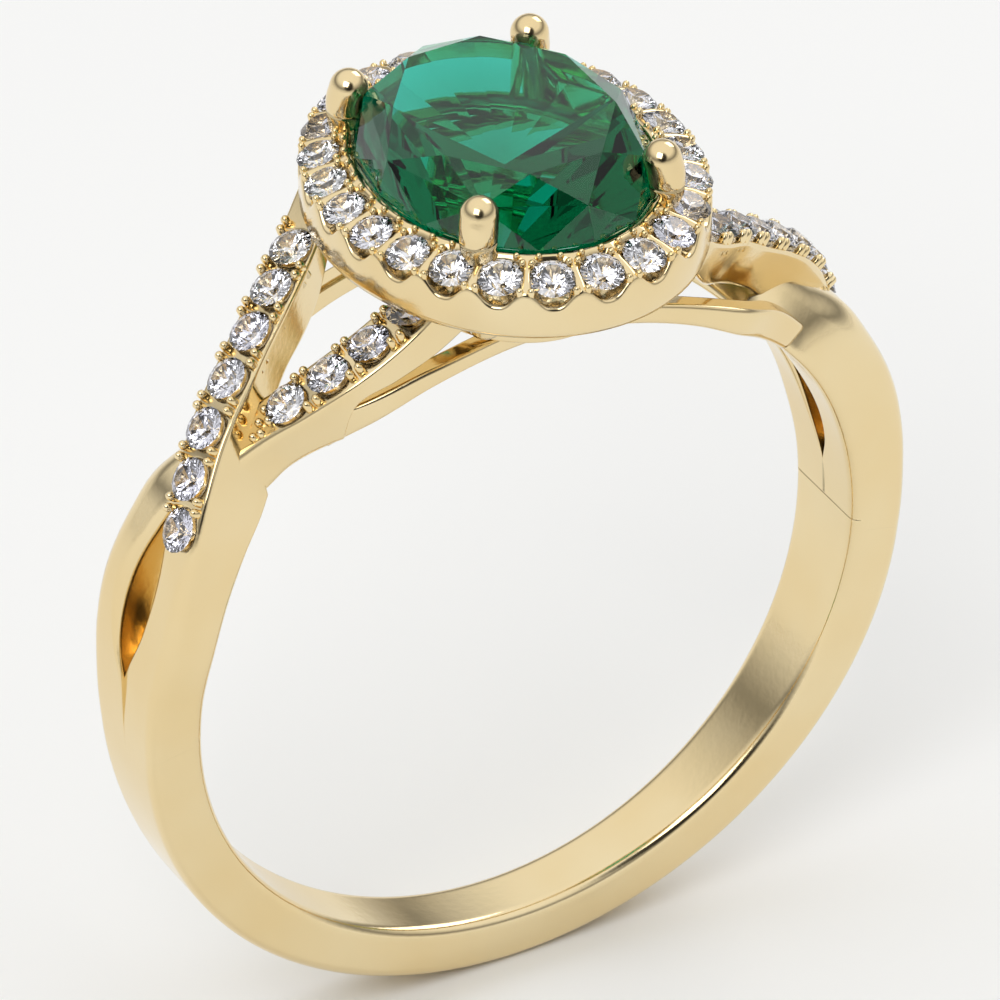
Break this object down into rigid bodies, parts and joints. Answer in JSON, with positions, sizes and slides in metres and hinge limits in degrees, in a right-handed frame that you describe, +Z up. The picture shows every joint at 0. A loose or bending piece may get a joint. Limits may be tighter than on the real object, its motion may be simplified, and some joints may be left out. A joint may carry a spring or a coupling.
{
  "type": "cocktail ring",
  "caption": "Yellow gold finger ring with a green oval stone in claws, a halo of small white stones and shoulders that split and cross.",
  "frame": {"origin": "centre of the finger hole", "axes": "+Y along the finger hole, +Z up through the stone, +X across the ring"},
  "size_m": [0.0202, 0.0108, 0.0236],
  "materials": {
    "yellow_gold": "high polish yellow gold",
    "green_stone": "polished facets, clear green",
    "white_stone": "polished facets, clear white"
  },
  "bodies": {
    "root": {"base_ring": "yellow_gold", "centre_stone": "green_stone", "front_bridge_rail": "yellow_gold", "halo_diamond_01": "white_stone", "halo_diamond_02": "white_stone", "halo_diamond_03": "white_stone", "halo_diamond_04": "white_stone", "halo_diamond_05": "white_stone", "halo_diamond_06": "white_stone", "halo_diamond_07": "white_stone", "halo_diamond_08": "white_stone", "halo_diamond_09": "white_stone", "halo_diamond_10": "white_stone", "halo_diamond_11": "white_stone", "halo_diamond_12": "white_stone", "halo_diamond_13": "white_stone", "halo_diamond_14": "white_stone", "halo_diamond_15": "white_stone", "halo_diamond_16": "white_stone", "halo_diamond_17": "white_stone", "halo_diamond_18": "white_stone", "halo_diamond_19": "white_stone", "halo_diamond_20": "white_stone", "halo_diamond_21": "white_stone", "halo_diamond_22": "white_stone", "halo_diamond_23": "white_stone", "halo_diamond_24": "white_stone", "halo_plate": "yellow_gold", "left_over_diamonds": "white_stone", "left_over_strand": "yellow_gold", "left_under_diamonds": "white_stone", "left_under_strand": "yellow_gold", "lower_band": "yellow_gold", "prong_front_left": "yellow_gold", "prong_front_right": "yellow_gold", "prong_rear_left": "yellow_gold", "prong_rear_right": "yellow_gold", "rear_bridge_rail": "yellow_gold", "right_over_diamonds": "white_stone", "right_over_strand": "yellow_gold", "right_under_diamonds": "white_stone", "right_under_strand": "yellow_gold", "stone_seat": "yellow_gold"}
  },
  "joints": []
}
